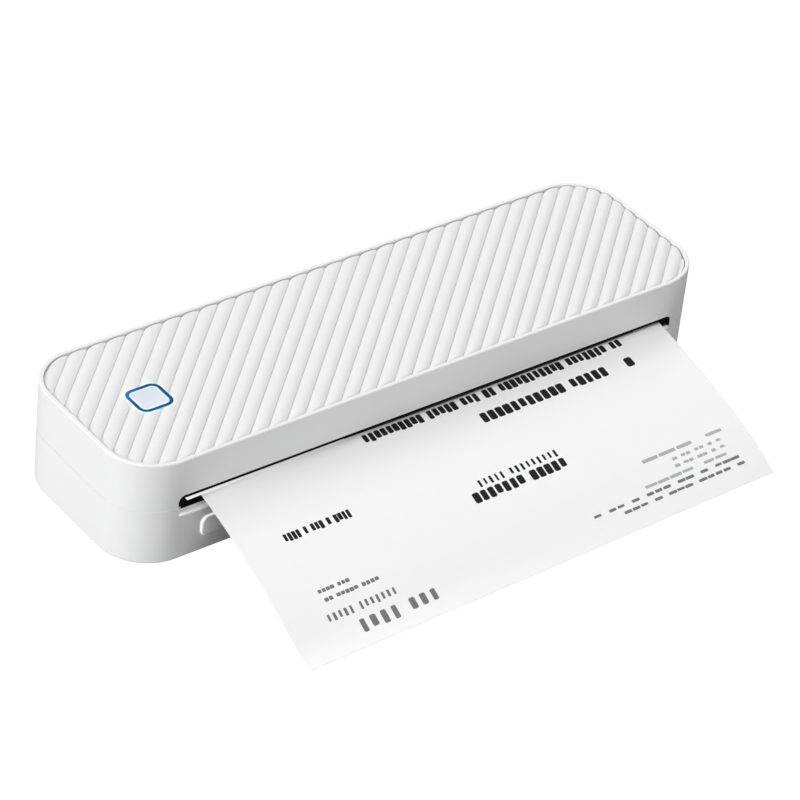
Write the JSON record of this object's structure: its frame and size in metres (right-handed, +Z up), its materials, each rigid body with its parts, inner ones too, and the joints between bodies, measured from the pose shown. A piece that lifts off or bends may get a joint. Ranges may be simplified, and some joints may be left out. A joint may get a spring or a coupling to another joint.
{
  "type": "portable printer",
  "caption": "Bar-shaped portable page printer with rounded corners, a diagonally ribbed cover hinged at the back, a square lit button and a sheet leaving the front slot",
  "frame": {"origin": "on the table, under the middle of the bar, on the underside of the middle foot", "axes": "+X along the bar, +Y towards the hinged back where the sheet goes in, +Z up; the sheet leaves at -Y"},
  "size_m": [0.262, 0.1505, 0.044],
  "materials": {
    "shell": "fine matte moulded",
    "panel_white": "fine matte moulded",
    "bar_white": "smooth",
    "ring_blue": "lit diffuser",
    "button_pale": "fine matte moulded",
    "foot_rubber": "matte",
    "roller_rubber": "ground",
    "guide_black": "fine matte moulded",
    "gear_plastic": "moulded acetal",
    "spool_grey": "moulded",
    "ribbon_film": "satin coated film",
    "plate_steel": "zinc plated",
    "socket_steel": "plated",
    "screw_steel": "plated",
    "sink_aluminium": "extruded",
    "bush_brass": "turned",
    "board_green": "solder mask",
    "head_ceramic": "glazed ceramic",
    "battery_sleeve": "shrink sleeve",
    "paper": "plain copier paper"
  },
  "bodies": {
    "base": {"lower_housing": "shell", "rubber_feet": "foot_rubber", "side_plate_left": "plate_steel", "side_plate_right": "plate_steel", "chassis_screws": "screw_steel", "front_paper_guide": "guide_black", "rear_paper_guide": "guide_black", "platen_bush_left": "bush_brass", "platen_bush_right": "bush_brass", "stepper_motor": "plate_steel", "idler_stud": "screw_steel", "battery_pack": "battery_sleeve", "main_board": "board_green", "board_screws": "screw_steel", "usb_socket": "socket_steel", "paper_sensor": "guide_black", "release_springs": "screw_steel", "hinge_pin_left": "screw_steel", "hinge_pin_right": "screw_steel"},
    "cover": {"top_cover": "shell", "ribbed_panel": "panel_white", "exit_bar": "bar_white", "button_light_ring": "ring_blue", "button_board": "board_green", "button_spring": "screw_steel", "print_head": "head_ceramic", "heat_sink": "sink_aluminium", "head_springs": "screw_steel", "ribbon_cheek_left": "guide_black", "ribbon_cheek_right": "guide_black", "ribbon_film": "ribbon_film"},
    "button": {"power_button": "button_pale"},
    "latch": {"release_tab": "shell", "latch_bar": "plate_steel"},
    "platen": {"platen_shaft": "screw_steel", "platen_roller": "roller_rubber", "platen_gear": "gear_plastic"},
    "idler": {"idler_gear": "gear_plastic"},
    "pinion": {"motor_pinion": "gear_plastic"},
    "supply": {"supply_spool": "spool_grey", "supply_roll": "ribbon_film"},
    "take_up": {"take_up_spool": "spool_grey", "take_up_roll": "ribbon_film"},
    "sheet": {"paper_sheet": "paper"}
  },
  "joints": [
    {"name": "cover_hinge", "type": "hinge", "parent": "base", "child": "cover", "pos_m": [0, 0.0348, 0.028], "axis": [-1, 0, 0], "range_deg": [0, 85]},
    {"name": "power_press", "type": "slide", "parent": "cover", "child": "button", "axis": [0, 0, -1], "range_m": [0, 0.0008], "stiffness_N_per_m": 800, "springref_m": -0.0006, "deforming": ["button_spring"]},
    {"name": "release_slide", "type": "slide", "parent": "base", "child": "latch", "axis": [0, 1, 0], "range_m": [0, 0.0015], "stiffness_N_per_m": 900, "springref_m": -0.001},
    {"name": "pinion_spin", "type": "hinge", "parent": "base", "child": "pinion", "pos_m": [0.12, 0.01333, 0.0133], "axis": [1, 0, 0], "continuous": true},
    {"name": "idler_spin", "type": "hinge", "parent": "base", "child": "idler", "pos_m": [0.12, 0.00003, 0.01419], "axis": [1, 0, 0], "continuous": true},
    {"name": "platen_spin", "type": "hinge", "parent": "base", "child": "platen", "pos_m": [0.003, -0.014, 0.0213], "axis": [1, 0, 0], "continuous": true},
    {"name": "supply_spin", "type": "hinge", "parent": "cover", "child": "supply", "pos_m": [0.003, 0.021, 0.0339], "axis": [1, 0, 0], "continuous": true},
    {"name": "take_up_spin", "type": "hinge", "parent": "cover", "child": "take_up", "pos_m": [0.003, -0.0253, 0.0339], "axis": [1, 0, 0], "continuous": true},
    {"name": "sheet_feed", "type": "slide", "parent": "base", "child": "sheet", "axis": [0, -1, 0], "range_m": [0, 0.04]}
  ],
  "couplings": [
    {"joint": "idler_spin", "follows": "platen_spin", "ratio": -0.625},
    {"joint": "pinion_spin", "follows": "platen_spin", "ratio": 1.6667},
    {"joint": "supply_spin", "follows": "take_up_spin", "ratio": 1}
  ]
}
